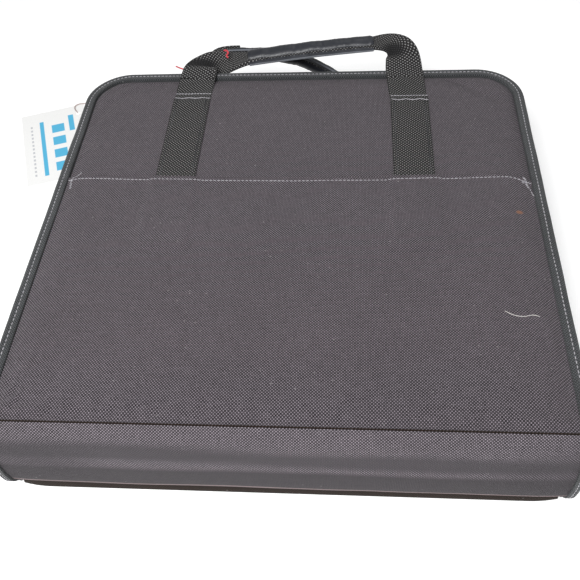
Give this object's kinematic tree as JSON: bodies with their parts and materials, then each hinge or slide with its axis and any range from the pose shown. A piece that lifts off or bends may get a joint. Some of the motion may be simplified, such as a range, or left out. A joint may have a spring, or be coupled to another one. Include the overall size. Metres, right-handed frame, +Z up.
{
  "type": "portfolio case",
  "caption": "Zip-round padded fabric portfolio case with a wide spine, an outer slip pocket, webbing straps and a pair of carrying handles.",
  "frame": {"origin": "centre of the case's footprint, on the face of the back cover that it rests on", "axes": "+X along the spine to the right, +Y from the spine to the handles, +Z up from the back cover to the front cover"},
  "size_m": [0.4956, 0.4311, 0.106],
  "materials": {
    "outer_cloth": "coarse woven nylon, charcoal with a warm cast, matt",
    "binding_tape": "ribbed binding tape, dark slate, folded and stitched",
    "webbing": "heavy woven webbing, olive black with pale specks in the weave",
    "lining": "plain smooth nylon, black",
    "elastic": "ribbed elastic, black",
    "foam": "open-cell padding, pale grey, hidden",
    "board": "stiffening sheet, grey, hidden",
    "zip_coil": "moulded nylon coil, black",
    "zip_metal": "cast zinc, black painted, worn a little at the edges",
    "grip_leather": "smooth black leather, softly creased, stitched along one edge",
    "tag_card": "white printed card with plain blue bars",
    "tag_string": "thin twisted string, dusky red"
  },
  "bodies": {
    "back_cover": {"back_cover_skin": "outer_cloth", "back_cover_foam": "foam", "back_cover_board": "board", "back_cover_lining": "lining", "back_cover_binding": "binding_tape", "lower_wall": "outer_cloth", "lower_zip_tape": "binding_tape", "lower_zip_coil": "zip_coil", "lower_zip_stops": "zip_metal", "inside_bands": "elastic", "rear_strap_left": "webbing", "rear_strap_right": "webbing", "hang_tag": "tag_card", "tag_string": "tag_string"},
    "spine": {"spine_skin": "outer_cloth", "spine_foam": "foam", "spine_board": "board", "spine_lining": "lining", "spine_end_bindings": "binding_tape"},
    "front_cover": {"front_cover_skin": "outer_cloth", "front_cover_foam": "foam", "front_cover_board": "board", "front_cover_lining": "lining", "front_cover_binding": "binding_tape", "upper_wall": "outer_cloth", "upper_zip_tape": "binding_tape", "upper_zip_coil": "zip_coil", "upper_zip_stops": "zip_metal", "front_pocket": "outer_cloth", "inner_pocket": "lining", "front_strap_left": "webbing", "front_strap_right": "webbing"},
    "front_handle": {"front_handle_webbing": "webbing", "front_handle_grip": "grip_leather"},
    "rear_handle": {"rear_handle_webbing": "webbing", "rear_handle_grip": "grip_leather"},
    "left_slider": {"zip_slider_left": "zip_metal"},
    "left_pull": {"zip_pull_left": "zip_metal"},
    "right_slider": {"zip_slider_right": "zip_metal"},
    "right_pull": {"zip_pull_right": "zip_metal"}
  },
  "joints": [
    {"name": "spine_fold", "type": "hinge", "parent": "back_cover", "child": "spine", "pos_m": [0, -0.176, 0], "axis": [1, 0, 0], "range_deg": [0, 86]},
    {"name": "cover_fold", "type": "hinge", "parent": "spine", "child": "front_cover", "pos_m": [0, -0.176, 0.088], "axis": [1, 0, 0], "range_deg": [0, 91]},
    {"name": "front_handle_swing", "type": "hinge", "parent": "front_cover", "child": "front_handle", "pos_m": [0, 0.14, 0.0891], "axis": [-1, 0, 0], "range_deg": [-125, 0]},
    {"name": "rear_handle_swing", "type": "hinge", "parent": "back_cover", "child": "rear_handle", "pos_m": [0, 0.178, 0.0025], "axis": [1, 0, 0], "range_deg": [-58, 0]},
    {"name": "left_slider_travel", "type": "slide", "parent": "back_cover", "child": "left_slider", "axis": [-1, 0, 0], "range_m": [0, 0.135]},
    {"name": "right_slider_travel", "type": "slide", "parent": "back_cover", "child": "right_slider", "axis": [1, 0, 0], "range_m": [0, 0.135]},
    {"name": "left_pull_turn", "type": "hinge", "parent": "left_slider", "child": "left_pull", "pos_m": [-0.008, 0.1792, 0.044], "axis": [0, 0, -1], "range_deg": [0, 90]},
    {"name": "right_pull_turn", "type": "hinge", "parent": "right_slider", "child": "right_pull", "pos_m": [0.008, 0.1792, 0.044], "axis": [0, 0, 1], "range_deg": [0, 90]}
  ]
}
